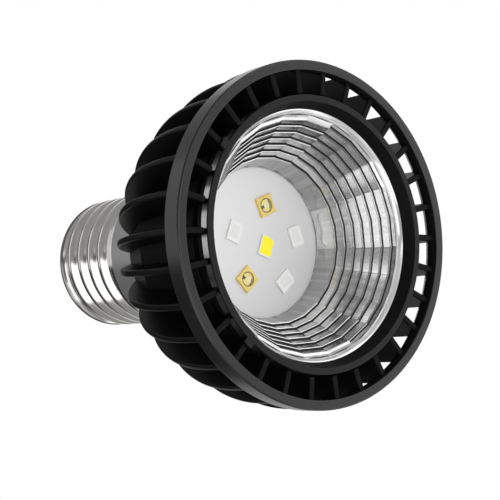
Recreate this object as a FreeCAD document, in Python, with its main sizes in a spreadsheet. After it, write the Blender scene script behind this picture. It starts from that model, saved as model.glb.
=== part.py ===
import FreeCAD, Part
import math
import os
import re
import Sketcher
from FreeCAD import Placement, Rotation, Vector

# Reptile UVB lamp: a small reflector spot lamp with six LEDs on a round board, a stepped
# and faceted mirror cup, an open finned heat sink and an Edison screw base.
# The lamp stands on its front ring with the screw base up. The origin is the centre of the
# ring's front face, +Z runs along the lamp's axis towards the base, and every height below
# is measured from that front face.

doc = FreeCAD.newDocument("UvbLamp")
sheet = doc.addObject("Spreadsheet::Sheet", "Sizes")

SIZES = [
    # whole lamp
    ("ring_radius", 30.5, "front ring, outer radius (61 mm lamp)"),
    ("core_back", 37.0, "heat sink, height of its rear face"),
    ("neck_length", 8.9, "neck, length between the heat sink and the screw shell"),
    ("base_length", 25.2, "screw base, length with its contact"),
    # heat sink: front ring
    ("ring_width", 1.8, "front ring, width of its face"),
    ("ring_height", 3.8, "front ring, height along the axis"),
    ("ring_chamfer", 0.25, "front ring, broken front edge"),
    ("ring_slope_width", 1.1, "front ring, width of the slope inside its back"),
    ("ring_slope_depth", 1.5, "front ring, height of that slope along the axis"),
    # heat sink: fins
    ("fin_count", 30, "radial fins"),
    ("fin_thickness", 1.2, "fin thickness"),
    ("fin_phase", 1.0, "angle of the first fin from +X, degrees"),
    ("fin_front", 0.7, "front edge of the fins, height"),
    ("fin_reach", 3.95, "fins in front, length between the ring and the bezel"),
    ("fin_setback", 0.25, "fins behind the ring, distance inside its edge"),
    ("fin_straight_end", 6.7, "height where the fins' curved back starts"),
    ("fin_back_radius", 37.6, "radius of the fins' curved back"),
    ("fin_tail_step", 0.3, "fin tails, step outside and in front of the core's rear edge"),
    ("fin_root", 0.9, "depth that the fins run into the core"),
    # heat sink: core, board well and the thin ring that carries the reflector
    ("seat_gap", 0.25, "gap between the reflector's skirt and the ring that carries it"),
    ("seat_ring_height", 1.1, "carrying ring, height along the axis"),
    ("core_front", 5.3, "front edge of the core's wall"),
    ("core_mouth_step", 0.6, "core's mouth, distance inside the widest part of the reflector"),
    ("core_mouth_wall", 1.4, "core's mouth, wall thickness"),
    ("core_waist_step", 2.4, "distance from the board's floor to the core's waist"),
    ("core_taper", 2.1, "core, loss of radius from its mouth to its waist"),
    ("core_back_wall", 2.6, "core's rear face, width"),
    ("board_gap", 0.3, "gap round the LED board in its well"),
    ("board_well_lip", 1.0, "well for the LED board, height above the board"),
    ("pad_thickness", 0.3, "thermal pad, thickness"),
    ("floor_thickness", 2.7, "floor under the pad, thickness"),
    ("plug_gap", 0.3, "gap round the neck's plug in the heat sink"),
    ("lead_hole_radius", 2.0, "hole for the LED leads"),
    ("lead_hole_offset", 1.2, "hole for the LED leads, distance from the axis"),
    ("cut_past", 1.0, "depth that a hole's cut runs past the far face"),
    # bezel
    ("bezel_gap", 0.35, "gap between the bezel and the fins"),
    ("bezel_front", 0.1, "bezel, front face"),
    ("bezel_edge", 0.25, "bezel, broken outer edge"),
    ("bezel_rim_back", 0.45, "bezel, back of its thin outer rim"),
    ("bezel_face_width", 1.25, "bezel, width of its front face"),
    ("bezel_width", 2.25, "bezel, whole width"),
    ("bezel_mouth", 2.3, "bezel, depth of its inner cone"),
    ("bezel_wall", 0.55, "bezel, wall behind its inner cone"),
    ("bezel_rim_width", 0.8, "bezel, width of its thin outer rim"),
    ("bezel_step", 1.3, "bezel, back of its middle step"),
    ("nest_gap", 0.2, "gap between the bezel and the reflector round it"),
    ("lug_angle", 48.0, "clip lugs, angle from X, degrees"),
    ("lug_width", 1.8, "clip lug, width"),
    ("lug_length", 1.0, "clip lug, length outside the bezel"),
    ("lug_depth", 0.4, "clip lug, depth inside the bezel's rim"),
    ("lug_gap", 0.2, "clip lug, gap round the reflector's flange"),
    # reflector
    ("flange_setback", 0.1, "reflector flange, distance inside the bezel's edge"),
    ("flange_back", 2.0, "reflector flange, rear face on the carrying ring"),
    ("flange_seat", 0.85, "reflector flange, width of its rear face"),
    ("reflector_skirt_back", 2.9, "reflector, end of that skirt"),
    ("skirt_step", 0.65, "reflector, slope behind the skirt, loss of radius"),
    ("reflector_wall", 3.6, "reflector, height of the start of its cone"),
    ("reflector_foot_height", 1.5, "reflector foot, height of its straight part"),
    ("mouth_step", 0.11, "reflector mouth, step inside the bezel"),
    ("flare_width", 0.44, "reflector mouth, width of the smooth flare"),
    ("flare_back", 3.0, "end of the flare, height"),
    ("facet_count", 24, "flat facets round each step"),
    ("facet_phase", 11.0, "angle of the first facet corner from +X, degrees"),
    ("cup_floor", 0.4, "reflector, height of its bottom edge above the board"),
    ("cup_hole_setback", 0.9, "round hole over the board, distance inside the board's edge"),
    ("cup_bottom_step", 0.15, "facets' bottom edge, corners outside the round hole"),
    ("step_count", 7, "steps in the reflector"),
    ("step_first_height", 4.2, "deepest step, height above the board"),
    ("step_last", 3.86, "step nearest the mouth, height"),
    ("step_first_growth", 1.35, "deepest step, corners outside the bottom edge's"),
    ("step_last_setback", 0.6, "step nearest the mouth, corners inside the flare"),
    ("step_ledge", 0.26, "width of the ledge at each step"),
    ("step_rise", 0.08, "height of the ledge's slope"),
    # LED board
    ("board_radius", 14.7, "LED board, radius"),
    ("board_front", 17.0, "LED board, front face"),
    ("board_thickness", 1.6, "LED board, thickness"),
    ("board_chamfer", 0.2, "LED board, broken edge"),
    # LEDs
    ("array_x", -0.95, "centre of the LED pattern, x"),
    ("array_y", 1.3, "centre of the LED pattern, y"),
    ("array_radius", 7.6, "radius of the LED pattern"),
    ("array_count", 5, "LEDs round the middle one"),
    ("array_phase", 81.0, "angle of the first LED from +X, degrees"),
    ("uv_a_turn", 75.5, "first UV LED, turn about its own axis, degrees"),
    ("uv_b_turn", 54.5, "second UV LED, turn, degrees"),
    ("clear_a_turn", -11.0, "first clear LED, turn, degrees"),
    ("clear_b_turn", 29.0, "second clear LED, turn, degrees"),
    ("clear_c_turn", 56.0, "third clear LED, turn, degrees"),
    ("warm_turn", 27.0, "warm white LED in the middle, turn, degrees"),
    ("uv_side", 3.6, "UV LED, side of its gold base"),
    ("uv_height", 0.5, "UV LED, height of its base"),
    ("uv_chamfer", 0.05, "UV LED, broken top edges"),
    ("uv_well_radius", 1.2, "UV LED, well under its window"),
    ("uv_well_depth", 0.28, "UV LED, depth of the well"),
    ("uv_chip_side", 0.9, "UV LED, chip side"),
    ("uv_chip_height", 0.12, "UV LED, chip height"),
    ("uv_window_radius", 1.35, "UV LED, window radius"),
    ("uv_window_edge", 0.1, "UV LED, window edge thickness"),
    ("uv_window_dome", 0.25, "UV LED, window height at its centre"),
    ("chip_length", 3.8, "small LED, length"),
    ("chip_width", 2.9, "small LED, width"),
    ("chip_height", 0.4, "small LED, height"),
    ("chip_corner", 0.5, "small LED, cut corner"),
    ("clear_length", 2.4, "clear LED, window length"),
    ("clear_width", 1.7, "clear LED, window width"),
    ("warm_length", 3.3, "warm white LED, window length"),
    ("warm_width", 2.4, "warm white LED, window width"),
    ("window_depth", 0.15, "small LED, depth of its window"),
    # neck
    ("neck_front_step", 0.7, "neck, step inside the heat sink's rear edge"),
    ("neck_shoulder", 0.25, "neck, width of its shoulder outside the shell"),
    ("neck_chamfer", 0.3, "neck, broken rear edge"),
    ("neck_plug_length", 7.0, "neck, length of its plug inside the heat sink"),
    ("neck_plug_wall", 1.9, "neck, wall of that plug"),
    ("tube_gap", 0.35, "gap round the neck's tube in the screw shell"),
    ("neck_tube_length", 11.6, "neck, length of that tube"),
    ("neck_tube_wall", 1.2, "neck, wall of that tube"),
    # driver
    ("sleeve_gap", 0.3, "gap between the driver sleeve and the neck"),
    ("sleeve_wall", 0.8, "driver sleeve, wall"),
    ("sleeve_end", 1.0, "driver sleeve, thickness of its closed end"),
    ("driver_edge_gap", 0.6, "gap between the driver board and the sleeve"),
    ("driver_thickness", 1.2, "driver board, thickness"),
    ("driver_overhang", 3.0, "driver board, length outside the sleeve"),
    ("can_gap", 1.5, "gap between the capacitors' ends and the sleeve"),
    ("can_groove", 0.8, "capacitors, height of the rolled groove"),
    ("can_groove_width", 0.8, "capacitors, width of the groove"),
    ("can_groove_depth", 0.25, "capacitors, depth of the groove"),
    ("can_edge", 0.3, "capacitors, broken end edge"),
    ("smoothing_radius", 4.0, "smoothing capacitor, radius"),
    ("smoothing_share", 0.288, "smoothing capacitor, share of the way along the board"),
    ("output_radius", 3.0, "output capacitor, radius"),
    ("output_share", 0.789, "output capacitor, share of the way along the board"),
    ("low_step", 0.5, "inductor and fuse resistor, ends below the capacitors'"),
    ("bobbin_radius", 3.6, "inductor, flange radius"),
    ("winding_radius", 3.0, "inductor, winding radius"),
    ("bobbin_flange", 0.9, "inductor, flange thickness"),
    ("inductor_share", 0.538, "inductor, share of the way along the board"),
    ("fuse_cap_radius", 1.7, "fuse resistor, end cap radius"),
    ("fuse_waist_radius", 1.4, "fuse resistor, barrel radius"),
    ("fuse_cap", 1.0, "fuse resistor, end cap length"),
    ("fuse_share", 0.789, "fuse resistor, share of the way along the board"),
    ("rectifier_length", 4.7, "rectifier, length"),
    ("rectifier_width", 3.9, "rectifier, width"),
    ("rectifier_height", 2.4, "rectifier, height"),
    ("rectifier_legs", 2, "rectifier, legs on each side"),
    ("rectifier_share", 0.565, "rectifier, share of the way along the board"),
    ("driver_chip_length", 4.9, "driver chip, length"),
    ("driver_chip_width", 3.9, "driver chip, width"),
    ("driver_chip_height", 1.5, "driver chip, height"),
    ("driver_chip_legs", 4, "driver chip, legs on each side"),
    ("driver_chip_share", 0.301, "driver chip, share of the way along the board"),
    ("package_draft", 6.0, "packages, slope of their sides, degrees"),
    ("leg_width", 0.5, "package legs, width"),
    ("leg_height", 0.2, "package legs, thickness"),
    ("leg_reach", 1.0, "package legs, length beside the package"),
    ("lead_radius", 0.5, "leads, radius"),
    ("lead_gap", 0.9, "LED leads, distance of each from the middle"),
    ("lead_reach", 4.4, "LED leads, length along the driver board"),
    ("neutral_start", 4.0, "neutral lead, end on the driver board, distance from the axis"),
    ("neutral_step", 1.5, "neutral lead, distance from the driver board's rear edge"),
    ("neutral_gap", 0.3, "neutral lead, gap for solder at the shell"),
    # screw shell
    ("thread_radius", 13.1, "thread, crest radius (26.2 mm)"),
    ("thread_depth", 0.85, "thread, depth from crest to root"),
    ("shell_wall", 0.5, "screw shell, wall"),
    ("collar_step", 0.05, "screw shell, smooth collar, step outside the thread"),
    ("collar_length", 1.0, "screw shell, length of the collar"),
    ("collar_slope_length", 0.8, "screw shell, length of the slope behind the collar"),
    ("thread_pitch", 3.629, "thread, pitch (7 turns an inch)"),
    ("thread_lead", 2.1, "thread, distance from the shell's front to its first crest"),
    ("thread_run_out", 0.98, "thread, distance from its last crest to the rolled end"),
    ("thread_half_width", 1.7, "thread, half the width of the ridge"),
    ("thread_sink", 0.2, "thread, depth of the ridge inside the wall"),
    ("roll_length", 2.0, "screw shell, length of its rolled end"),
    ("roll_inset", 0.15, "screw shell, rolled end's distance inside the thread"),
    ("roll_drop", 1.4, "screw shell, rolled edge's distance from the end face"),
    ("roll_curve", 1.45, "screw shell, curve of its rolled end"),
    ("shell_face", 1.3, "screw shell, width of its end face"),
    ("shell_end_wall", 0.8, "screw shell, thickness of its end"),
    # insulator and contact
    ("flange_gap", 0.35, "gap round the insulator's flange in the shell"),
    ("insulator_flange", 1.7, "insulator, thickness of its flange"),
    ("insulator_gap", 0.3, "gap round the insulator in the shell's hole"),
    ("insulator_catch", 1.1, "insulator, width of the flange outside the hole's part"),
    ("insulator_step", 0.4, "insulator, straight part outside the shell"),
    ("insulator_curve", 14.0, "insulator, hollow curve of its cone"),
    ("insulator_cone", 3.0, "insulator, height outside the shell"),
    ("insulator_tip_radius", 5.4, "insulator, radius of its end face"),
    ("rivet_radius", 1.1, "centre contact, rivet radius"),
    ("rivet_gap", 0.3, "gap round the rivet"),
    ("contact_radius", 4.8, "centre contact, radius"),
    ("contact_thickness", 0.7, "centre contact, thickness at its edge"),
    ("contact_rise", 1.0, "centre contact, rise of its dome"),
]

# Sizes that follow from those above, as expressions of them

DERIVED = [
    # whole lamp
    ("neck_back", "core_back + neck_length", "neck, shoulder where the screw shell sits"),
    ("lamp_height", "neck_back + base_length", "overall height (2.8 in)"),
    # heat sink: front ring
    ("ring_bore", "ring_radius - ring_width", "front ring, inner radius"),
    # heat sink: fins
    ("fin_inner_radius", "ring_bore - fin_reach", "fins in front, inner end"),
    ("fin_outer_radius", "ring_radius - fin_setback", "fins behind the ring, outer edge"),
    ("fin_tail_radius", "core_back_radius + fin_tail_step", "fin tail, radius"),
    ("fin_tail", "core_back - fin_tail_step", "fin tail, height"),
    # heat sink: core, board well and the thin ring that carries the reflector
    ("seat_ring_bore", "reflector_skirt_radius + seat_gap", "carrying ring, inner radius"),
    ("seat_ring_back", "flange_back + seat_ring_height", "carrying ring, rear face"),
    ("core_front_bore", "reflector_wall_radius - core_mouth_step", "core's mouth, inner radius"),
    ("core_front_radius", "core_front_bore + core_mouth_wall", "core's mouth, outer radius"),
    ("core_waist", "floor_back + core_waist_step", "height where the core starts to close in"),
    ("core_waist_radius", "core_front_radius - core_taper", "core's waist, radius"),
    ("core_back_radius", "driver_bore + core_back_wall", "core's rear face, outer radius"),
    ("board_well_radius", "board_radius + board_gap", "well for the LED board, radius"),
    ("board_well_top", "board_front - board_well_lip", "well for the LED board, front edge"),
    ("floor_front", "board_back + pad_thickness", "floor under the pad, front face"),
    ("floor_back", "floor_front + floor_thickness", "floor under the pad, rear face"),
    ("driver_bore", "neck_plug_radius + plug_gap", "bore for the driver and neck, radius"),
    # bezel
    ("bezel_radius", "fin_inner_radius - bezel_gap", "bezel, outer radius"),
    ("bezel_lip_radius", "bezel_radius - bezel_face_width", "bezel, inner edge of its front face"),
    ("bezel_mouth_radius", "bezel_radius - bezel_width", "bezel, inner edge at the reflector"),
    ("bezel_wall_radius", "bezel_mouth_radius + bezel_wall", "bezel, outside of its inner cone"),
    ("bezel_step_radius", "bezel_radius - bezel_rim_width", "bezel, outside of its middle step"),
    # reflector
    ("flange_radius", "bezel_radius - flange_setback", "reflector flange, outer radius"),
    ("flange_lip_radius", "bezel_step_radius + nest_gap", "reflector flange, inside of its lip"),
    ("bezel_pocket_radius", "bezel_wall_radius + nest_gap", "reflector, pocket for the bezel"),
    ("reflector_skirt_radius", "flange_radius - flange_seat", "reflector, skirt behind the flange"),
    ("reflector_wall_radius", "reflector_skirt_radius - skirt_step", "reflector, start of its cone"),
    ("reflector_foot", "board_front - reflector_foot_height", "reflector foot, end of the cone"),
    ("reflector_mouth_radius", "bezel_mouth_radius - mouth_step", "reflector mouth, radius"),
    ("flare_back_radius", "reflector_mouth_radius - flare_width", "end of the flare, radius"),
    ("cup_bottom", "board_front - cup_floor", "height where the facets end above the board"),
    ("cup_hole_radius", "board_radius - cup_hole_setback", "round hole over the LED board"),
    ("cup_bottom_radius", "cup_hole_radius + cup_bottom_step", "corner radius there"),
    ("step_first", "board_front - step_first_height", "deepest step, height"),
    ("step_pitch", "(step_first - step_last) / (step_count - 1)", "distance between steps"),
    ("step_first_radius", "cup_bottom_radius + step_first_growth", "deepest step, corner radius"),
    ("step_last_radius", "flare_back_radius - step_last_setback", "that step's corner radius"),
    ("step_growth", "(step_last_radius - step_first_radius) / (step_count - 1)", "its growth per step"),
    # LED board
    ("board_back", "board_front + board_thickness", "LED board, rear face"),
    # neck
    ("neck_front_radius", "core_back_radius - neck_front_step", "neck, radius at the heat sink"),
    ("neck_back_radius", "collar_radius + neck_shoulder", "neck, radius at the shell"),
    ("neck_plug_front", "core_back - neck_plug_length", "neck, front end of that plug"),
    ("neck_plug_radius", "neck_bore + neck_plug_wall", "neck, radius of that plug"),
    ("neck_tube_radius", "shell_bore - tube_gap", "neck, tube inside the shell"),
    ("neck_tube_back", "neck_back + neck_tube_length", "neck, rear end of that tube"),
    ("neck_bore", "neck_tube_radius - neck_tube_wall", "neck, bore"),
    # driver
    ("sleeve_radius", "neck_bore - sleeve_gap", "driver sleeve, outer radius"),
    ("sleeve_bore", "sleeve_radius - sleeve_wall", "driver sleeve, inner radius"),
    ("sleeve_floor", "floor_back + sleeve_end", "driver sleeve, inside of its closed end"),
    ("driver_width", "2 * (sleeve_bore - driver_edge_gap)", "driver board, width"),
    ("driver_back", "neck_tube_back + driver_overhang", "driver board, rear edge"),
    ("driver_length", "driver_back - sleeve_floor", "driver board, length"),
    ("can_length", "sleeve_bore - driver_thickness / 2 - can_gap", "capacitors, length"),
    ("low_length", "can_length - low_step", "inductor and fuse resistor, length"),
    # screw shell
    ("shell_root_radius", "thread_radius - thread_depth", "screw shell, root of the thread"),
    ("shell_bore", "shell_root_radius - shell_wall", "screw shell, inner radius"),
    ("collar_radius", "thread_radius + collar_step", "screw shell, smooth collar"),
    ("collar_back", "neck_back + collar_length", "screw shell, end of the collar"),
    ("collar_slope", "collar_back + collar_slope_length", "screw shell, end of that slope"),
    ("thread_start", "neck_back + thread_lead", "thread, height of its first crest"),
    ("thread_turns", "(roll_front - thread_run_out - thread_start) / thread_pitch", "thread, turns"),
    ("roll_front", "shell_end - roll_length", "screw shell, start of its rolled end"),
    ("roll_radius", "thread_radius - roll_inset", "screw shell, radius of its rolled end"),
    ("roll_crest", "shell_end - roll_drop", "screw shell, height of its rolled edge"),
    ("shell_end_radius", "shell_hole + shell_face", "screw shell, end face, outer radius"),
    ("shell_end", "insulator_tip - insulator_cone", "screw shell, end face"),
    ("shell_flange", "shell_end - shell_end_wall", "screw shell, inside of its end"),
    ("shell_hole", "insulator_neck_radius + insulator_gap", "screw shell, hole in its end"),
    # insulator and contact
    ("insulator_flange_radius", "shell_bore - flange_gap", "insulator, flange inside the shell"),
    ("insulator_front", "shell_flange - insulator_flange", "insulator, front face"),
    ("insulator_neck_radius", "insulator_flange_radius - insulator_catch", "radius in the hole"),
    ("insulator_shoulder", "shell_end + insulator_step", "insulator, shoulder outside the shell"),
    ("insulator_tip", "contact_edge - contact_thickness", "insulator, end face"),
    ("rivet_hole", "rivet_radius + rivet_gap", "insulator, hole for the rivet"),
    ("contact_edge", "lamp_height - contact_rise", "centre contact, top of its edge"),
]

for row, (alias, value, words) in enumerate(SIZES, start=1):
    sheet.set("A%d" % row, words)
    sheet.set("B%d" % row, str(value))
    sheet.setAlias("B%d" % row, alias)
doc.recompute()
ALIASES = {alias for alias, value, words in SIZES}
FORMULAS = {name: formula for name, formula, words in DERIVED}
pieces = []


def expand(text):
    """Write an expression out in the sheet's own names."""
    def term(match):
        name = match[0]
        return "(%s)" % expand(FORMULAS[name]) if name in FORMULAS else name
    return re.sub(r"[a-z_]+", term, text)


def size(text):
    """The value of an expression."""
    return float(sheet.evalExpression(expand(text)))


def bind(item, field, text):
    """Bind a property or constraint to the sheet through an expression."""
    named = re.sub(r"[a-z_]+", lambda m: "Sizes." + m[0] if m[0] in ALIASES else m[0], expand(text))
    item.setExpression(field, named)


def keep(item, label, place=None):
    """Name a finished piece and put it in its place."""
    item.Label = label
    if place is not None:
        item.Placement = place
    pieces.append(item)
    return item


def new_body(name):
    return doc.addObject("PartDesign::Body", name + "_body")


def origin_part(body, role):
    return next(part for part in body.Origin.OriginFeatures if part.Role == role)


def new_sketch(body, name, role, offset=None):
    sketch = body.newObject("Sketcher::SketchObject", name)
    sketch.AttachmentSupport = [(origin_part(body, role), "")]
    sketch.MapMode = "FlatFace"
    if offset is not None:
        sketch.AttachmentOffset = offset
    return sketch


def place_point(sketch, edge, end, axis, text):
    """Hold one coordinate of a sketch point at an expression."""
    value = size(text)
    if abs(value) < 1e-9:
        sketch.addConstraint(Sketcher.Constraint("PointOnObject", edge, end, -2 if axis == "X" else -1))
        return
    ends = (-1, 1, edge, end) if value > 0 else (edge, end, -1, 1)
    index = sketch.addConstraint(Sketcher.Constraint("Distance" + axis, *ends, abs(value)))
    bind(sketch, "Constraints[%d]" % index, text if value > 0 else "-(%s)" % text)


def arc_radius(half_width, rise):
    """Radius of an arc that rises this much over half its width, as an expression."""
    return "((%s) ^ 2 / (%s) + (%s)) / 2" % (half_width, rise, rise)


def outline(sketch, corners):
    """Draw a closed outline; a corner is (x, y) or (x, y, arc radius, side of the centre).

    The arc runs from its corner to the next, with its centre on the left (+1) or right (-1)."""
    points = [Vector(size(corner[0]), size(corner[1]), 0) for corner in corners]
    joints = []
    for number, corner in enumerate(corners):
        start = points[number]
        end = points[(number + 1) % len(points)]
        if len(corner) == 2:
            edge = sketch.addGeometry(Part.LineSegment(start, end))
            joints.append((edge, 1, 2))
            continue
        radius = size(corner[2])
        side = corner[3]
        chord = end - start
        left = Vector(-chord.y, chord.x, 0).normalize()
        rise = math.sqrt(radius ** 2 - (chord.Length / 2) ** 2)
        centre = (start + end) * 0.5 + left * (side * rise)
        first, last = (start, end) if side > 0 else (end, start)
        first_angle = math.atan2(first.y - centre.y, first.x - centre.x)
        last_angle = math.atan2(last.y - centre.y, last.x - centre.x)
        circle = Part.Circle(centre, Vector(0, 0, 1), radius)
        edge = sketch.addGeometry(Part.ArcOfCircle(circle, first_angle, last_angle))
        joints.append((edge, 1, 2) if side > 0 else (edge, 2, 1))
        index = sketch.addConstraint(Sketcher.Constraint("Radius", edge, radius))
        bind(sketch, "Constraints[%d]" % index, corner[2])
    for number, (edge, start, end) in enumerate(joints):
        place_point(sketch, edge, start, "X", corners[number][0])
        place_point(sketch, edge, start, "Y", corners[number][1])
        following, following_start = joints[(number + 1) % len(joints)][:2]
        sketch.addConstraint(Sketcher.Constraint("Coincident", edge, end, following, following_start))


def circle(sketch, x, y, radius):
    edge = sketch.addGeometry(Part.Circle(Vector(size(x), size(y), 0), Vector(0, 0, 1), size(radius)))
    index = sketch.addConstraint(Sketcher.Constraint("Radius", edge, size(radius)))
    bind(sketch, "Constraints[%d]" % index, radius)
    place_point(sketch, edge, 3, "X", x)
    place_point(sketch, edge, 3, "Y", y)


def rectangle(sketch, x, y, length, width):
    """A rectangle centred on x, y."""
    left, right = "%s - %s / 2" % (x, length), "%s + %s / 2" % (x, length)
    low, high = "%s - %s / 2" % (y, width), "%s + %s / 2" % (y, width)
    outline(sketch, [(left, low), (right, low), (right, high), (left, high)])


def revolve(body, name, corners, kind="Revolution"):
    """Turn a half section (radius, height) round the lamp's axis."""
    sketch = new_sketch(body, name + "_section", "XZ_Plane")
    outline(sketch, corners)
    feature = body.newObject("PartDesign::" + kind, name)
    feature.Profile = (sketch, [""])
    feature.ReferenceAxis = (sketch, ["V_Axis"])
    feature.Angle = 360
    return feature


def pad(body, name, sketch, length, reverse=False, symmetric=False):
    feature = body.newObject("PartDesign::Pad", name)
    feature.Profile = (sketch, [""])
    bind(feature, "Length", length)
    feature.Reversed = reverse
    feature.SideType = "Symmetric" if symmetric else "One side"
    return feature


def pocket(body, name, sketch, depth, reverse=False):
    """Cut a sketch into the body and make sure that it removed something."""
    doc.recompute()
    before = body.Shape.Volume
    feature = body.newObject("PartDesign::Pocket", name)
    feature.Profile = (sketch, [""])
    bind(feature, "Length", depth)
    feature.Reversed = reverse
    doc.recompute()
    if body.Shape.Volume > before - 1e-3:
        raise RuntimeError(name + " cuts nothing")
    return feature


def raised(height, x=0.0, y=0.0, turn=0.0):
    """A place at x, y and height, turned about the vertical."""
    return Placement(Vector(x, y, height), Rotation(Vector(0, 0, 1), turn))


# Heat sink: one casting with its core, thirty fins, the front ring and the reflector's seat

sink = new_body("heat_sink")
revolve(sink, "core", [
    ("core_front_radius", "core_front"),
    ("core_waist_radius", "core_waist"),
    ("core_back_radius", "core_back"),
    ("driver_bore", "core_back"),
    ("driver_bore", "floor_back"),
    ("0", "floor_back"),
    ("0", "floor_front"),
    ("board_well_radius", "floor_front"),
    ("board_well_radius", "board_well_top"),
    ("core_front_bore", "core_front"),
])

fin_outline = new_sketch(sink, "fin_outline", "XZ_Plane")
outline(fin_outline, [
    ("fin_inner_radius", "fin_front"),
    ("(ring_bore + ring_radius) / 2", "fin_front"),
    ("fin_outer_radius", "ring_height / 2"),
    ("fin_outer_radius", "fin_straight_end", "fin_back_radius", 1),
    ("fin_tail_radius", "fin_tail"),
    ("core_back_radius - fin_root", "fin_tail"),
    ("core_waist_radius - fin_root", "core_waist - fin_root"),
    ("core_front_radius - fin_root", "core_front + fin_root"),
    ("(seat_ring_bore + flange_radius) / 2", "(flange_back + seat_ring_back) / 2"),
    ("fin_inner_radius", "flange_back - ring_chamfer"),
])
fin = pad(sink, "fin", fin_outline, "fin_thickness", symmetric=True)
fins = sink.newObject("PartDesign::PolarPattern", "fins")
fins.Originals = [fin]
fins.Axis = (origin_part(sink, "Z_Axis"), [""])
fins.Angle = 360
bind(fins, "Occurrences", "fin_count")
sink.Tip = fins

revolve(sink, "front_ring", [
    ("ring_bore", "0"),
    ("ring_radius - ring_chamfer", "0"),
    ("ring_radius", "ring_chamfer"),
    ("ring_radius", "ring_height"),
    ("ring_bore + ring_slope_width", "ring_height"),
    ("ring_bore", "ring_height - ring_slope_depth"),
])
revolve(sink, "seat_ring", [
    ("seat_ring_bore", "flange_back"),
    ("flange_radius", "flange_back"),
    ("flange_radius", "seat_ring_back"),
    ("seat_ring_bore", "seat_ring_back"),
])
lead_hole = new_sketch(sink, "lead_hole_outline", "XY_Plane")
circle(lead_hole, "0", "lead_hole_offset", "lead_hole_radius")
pocket(sink, "lead_hole", lead_hole, "floor_back + cut_past", reverse=True)
keep(sink, "heat_sink", raised(0, turn=size("fin_phase")))

# Bezel: a thin black ring that nests in the reflector's flange, with two clip lugs on fins

bezel = new_body("bezel")
revolve(bezel, "bezel_ring", [
    ("bezel_lip_radius", "bezel_front"),
    ("bezel_radius - bezel_edge", "bezel_front"),
    ("bezel_radius", "bezel_front + bezel_edge"),
    ("bezel_radius", "bezel_rim_back"),
    ("bezel_step_radius", "bezel_rim_back"),
    ("bezel_step_radius", "bezel_step"),
    ("bezel_wall_radius", "bezel_step"),
    ("bezel_wall_radius", "bezel_mouth"),
    ("bezel_mouth_radius", "bezel_mouth"),
])
lug_turn = Placement(Vector(0, 0, 0), Rotation(Vector(0, 1, 0), -size("lug_angle")))
lug_outline = new_sketch(bezel, "lug_outline", "XZ_Plane", lug_turn)
outline(lug_outline, [
    ("bezel_radius - lug_depth", "bezel_front"),
    ("bezel_radius + lug_length", "bezel_front"),
    ("bezel_radius + lug_length", "fin_front"),
    ("flange_radius + lug_gap", "fin_front"),
    ("flange_radius + lug_gap", "bezel_rim_back"),
    ("bezel_radius - lug_depth", "bezel_rim_back"),
])
lug = pad(bezel, "lug", lug_outline, "lug_width", symmetric=True)
lugs = bezel.newObject("PartDesign::Mirrored", "lugs")
lugs.Originals = [lug]
lugs.MirrorPlane = (origin_part(bezel, "YZ_Plane"), [""])
bezel.Tip = lugs
keep(bezel, "bezel", raised(0, turn=size("fin_phase")))

# Reflector: a turned outside, and inside a stack of many-sided steps cut away

cup = new_body("reflector")
revolve(cup, "cup_outside", [
    ("0", "bezel_mouth"),
    ("bezel_pocket_radius", "bezel_mouth"),
    ("bezel_pocket_radius", "bezel_step"),
    ("flange_lip_radius", "bezel_step"),
    ("flange_lip_radius", "bezel_rim_back"),
    ("flange_radius", "bezel_rim_back"),
    ("flange_radius", "flange_back"),
    ("reflector_skirt_radius", "flange_back"),
    ("reflector_skirt_radius", "reflector_skirt_back"),
    ("reflector_wall_radius", "reflector_wall"),
    ("board_radius", "reflector_foot"),
    ("board_radius", "board_front"),
    ("0", "board_front"),
])
revolve(cup, "mouth_flare", [
    ("0", "bezel_mouth"),
    ("reflector_mouth_radius", "bezel_mouth"),
    ("flare_back_radius", "flare_back"),
    ("0", "flare_back"),
], kind="Groove")
doc.recompute()


def facets(name, height, corner_radius):
    """One many-sided outline of the reflector's inside."""
    polygon = doc.addObject("Part::RegularPolygon", name)
    bind(polygon, "Polygon", "facet_count")
    bind(polygon, "Circumradius", corner_radius)
    polygon.Placement = raised(size(height), turn=size("facet_phase"))
    bind(polygon, "Placement.Base.z", height)
    return polygon


sections = [facets("cup_bottom_edge", "cup_bottom", "cup_bottom_radius")]
for number in range(int(size("step_count"))):
    step = "step_first - %d * step_pitch" % number
    corner = "step_first_radius + %d * step_growth" % number
    sections.append(facets("step_%d_wall" % number, step, corner + " - step_ledge / 2"))
    sections.append(facets("step_%d_ledge" % number, step + " - step_rise", corner + " + step_ledge / 2"))
sections.append(facets("cup_top_edge", "flare_back", "flare_back_radius"))
steps = doc.addObject("Part::Loft", "cup_inside")
steps.Sections = sections
steps.Solid = True
steps.Ruled = True
cup_hole = doc.addObject("Part::Cylinder", "cup_hole")
bind(cup_hole, "Radius", "cup_hole_radius")
bind(cup_hole, "Height", "board_front - cup_bottom + step_pitch")
bind(cup_hole, "Placement.Base.z", "cup_bottom - step_pitch / 2")
hollow = doc.addObject("Part::Fuse", "cup_hollow")
hollow.Base = steps
hollow.Tool = cup_hole
reflector = doc.addObject("Part::Cut", "reflector_cut")
reflector.Base = cup
reflector.Tool = hollow
keep(reflector, "reflector")

# LED board and the thermal pad under it

board = new_body("led_board")
revolve(board, "board_disc", [
    ("0", "board_front"),
    ("board_radius", "board_front"),
    ("board_radius", "board_back - board_chamfer"),
    ("board_radius - board_chamfer", "board_back"),
    ("0", "board_back"),
])
keep(board, "led_board")

gasket = new_body("thermal_pad")
gasket_outline = new_sketch(gasket, "gasket_outline", "XY_Plane")
circle(gasket_outline, "0", "0", "board_radius")
circle(gasket_outline, "0", "lead_hole_offset", "lead_hole_radius")
pad(gasket, "gasket", gasket_outline, "floor_front - board_back")
keep(gasket, "thermal_pad", raised(size("board_back"), turn=size("fin_phase")))

# LEDs, each drawn with its back at height 0 and its light side towards -Z


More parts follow.
